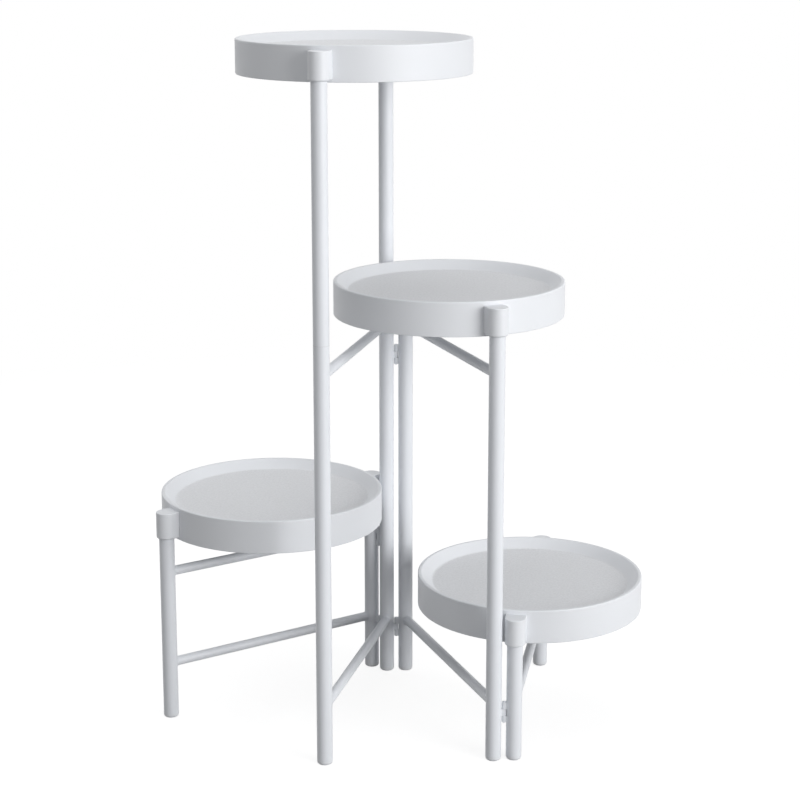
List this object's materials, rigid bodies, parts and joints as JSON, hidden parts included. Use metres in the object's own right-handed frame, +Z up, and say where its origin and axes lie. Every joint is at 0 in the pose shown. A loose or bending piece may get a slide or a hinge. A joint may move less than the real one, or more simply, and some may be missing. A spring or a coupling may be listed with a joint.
{
  "type": "folding plant stand",
  "caption": "Folding plant stand of hinged tube frames at stepped heights, each frame carrying a round shallow tray that lifts off its two uprights.",
  "frame": {"origin": "on the floor, at the centre of the foot of the back upright of the tallest frame", "axes": "+Z is up; +X runs to the right and +Y away from the viewer as the stand is pictured, with the tallest frame's front upright towards -Y"},
  "size_m": [0.5132, 0.3185, 0.719],
  "materials": {
    "powder_coated_tube": "white satin powder coat on steel tube",
    "moulded_tray": "white moulded plastic with a fine matt grain",
    "foot_plug": "white moulded plastic plug",
    "hinge_knuckle": "white satin powder coat on steel",
    "hinge_pin": "white powder coat worn at the heads",
    "splice_sleeve": "bare steel, hidden inside the tubes"
  },
  "bodies": {
    "frame_b": {"b_back_lower_upright": "powder_coated_tube", "b_back_upper_upright": "powder_coated_tube", "b_back_splice_sleeve": "splice_sleeve", "b_back_foot": "foot_plug", "b_front_lower_upright": "powder_coated_tube", "b_front_upper_upright": "powder_coated_tube", "b_front_splice_sleeve": "splice_sleeve", "b_front_foot": "foot_plug", "b_lower_crossbar": "powder_coated_tube", "b_upper_crossbar": "powder_coated_tube", "hinge_ab_lower_middle_knuckle": "hinge_knuckle", "hinge_ab_upper_middle_knuckle": "hinge_knuckle", "hinge_bc_lower_middle_knuckle": "hinge_knuckle", "hinge_bc_upper_middle_knuckle": "hinge_knuckle"},
    "frame_a": {"a_back_upright": "powder_coated_tube", "a_back_foot": "foot_plug", "a_front_upright": "powder_coated_tube", "a_front_foot": "foot_plug", "a_lower_crossbar": "powder_coated_tube", "a_upper_crossbar": "powder_coated_tube", "hinge_ab_lower_bottom_knuckle": "hinge_knuckle", "hinge_ab_lower_top_knuckle": "hinge_knuckle", "hinge_ab_lower_pin": "hinge_pin", "hinge_ab_upper_bottom_knuckle": "hinge_knuckle", "hinge_ab_upper_top_knuckle": "hinge_knuckle", "hinge_ab_upper_pin": "hinge_pin"},
    "frame_c": {"c_back_upright": "powder_coated_tube", "c_back_foot": "foot_plug", "c_front_upright": "powder_coated_tube", "c_front_foot": "foot_plug", "c_lower_crossbar": "powder_coated_tube", "c_upper_crossbar": "powder_coated_tube", "hinge_bc_lower_bottom_knuckle": "hinge_knuckle", "hinge_bc_lower_top_knuckle": "hinge_knuckle", "hinge_bc_lower_pin": "hinge_pin", "hinge_bc_upper_bottom_knuckle": "hinge_knuckle", "hinge_bc_upper_top_knuckle": "hinge_knuckle", "hinge_bc_upper_pin": "hinge_pin", "hinge_cd_lower_middle_knuckle": "hinge_knuckle"},
    "frame_d": {"d_front_upright": "powder_coated_tube", "d_front_foot": "foot_plug", "d_back_upright": "powder_coated_tube", "d_back_foot": "foot_plug", "d_lower_crossbar": "powder_coated_tube", "hinge_cd_lower_bottom_knuckle": "hinge_knuckle", "hinge_cd_lower_top_knuckle": "hinge_knuckle", "hinge_cd_lower_pin": "hinge_pin"},
    "dish_a": {"tray_a": "moulded_tray", "a_back_socket": "moulded_tray", "a_front_socket": "moulded_tray"},
    "dish_b": {"tray_b": "moulded_tray", "b_back_socket": "moulded_tray", "b_front_socket": "moulded_tray"},
    "dish_c": {"tray_c": "moulded_tray", "c_back_socket": "moulded_tray", "c_front_socket": "moulded_tray"},
    "dish_d": {"tray_d": "moulded_tray", "d_front_socket": "moulded_tray", "d_back_socket": "moulded_tray"}
  },
  "joints": [
    {"name": "fold_ab", "type": "hinge", "parent": "frame_b", "child": "frame_a", "pos_m": [-0.00892, 0.00553, 0.0404], "axis": [0, 0, -1], "range_deg": [-42.4, 42.6]},
    {"name": "fold_bc", "type": "hinge", "parent": "frame_b", "child": "frame_c", "pos_m": [0.01047, 0.00077, 0.0404], "axis": [0, 0, 1], "range_deg": [-34, 51]},
    {"name": "fold_cd", "type": "hinge", "parent": "frame_c", "child": "frame_d", "pos_m": [0.11982, -0.23858, 0.0404], "axis": [0, 0, -1], "range_deg": [-30.2, 54.8]},
    {"name": "lift_a", "type": "slide", "parent": "frame_a", "child": "dish_a", "axis": [0, 0, 1], "range_m": [0, 0.04]},
    {"name": "lift_b", "type": "slide", "parent": "frame_b", "child": "dish_b", "axis": [0, 0, 1], "range_m": [0, 0.04]},
    {"name": "lift_c", "type": "slide", "parent": "frame_c", "child": "dish_c", "axis": [0, 0, 1], "range_m": [0, 0.04]},
    {"name": "lift_d", "type": "slide", "parent": "frame_d", "child": "dish_d", "axis": [0, 0, 1], "range_m": [0, 0.04]}
  ]
}
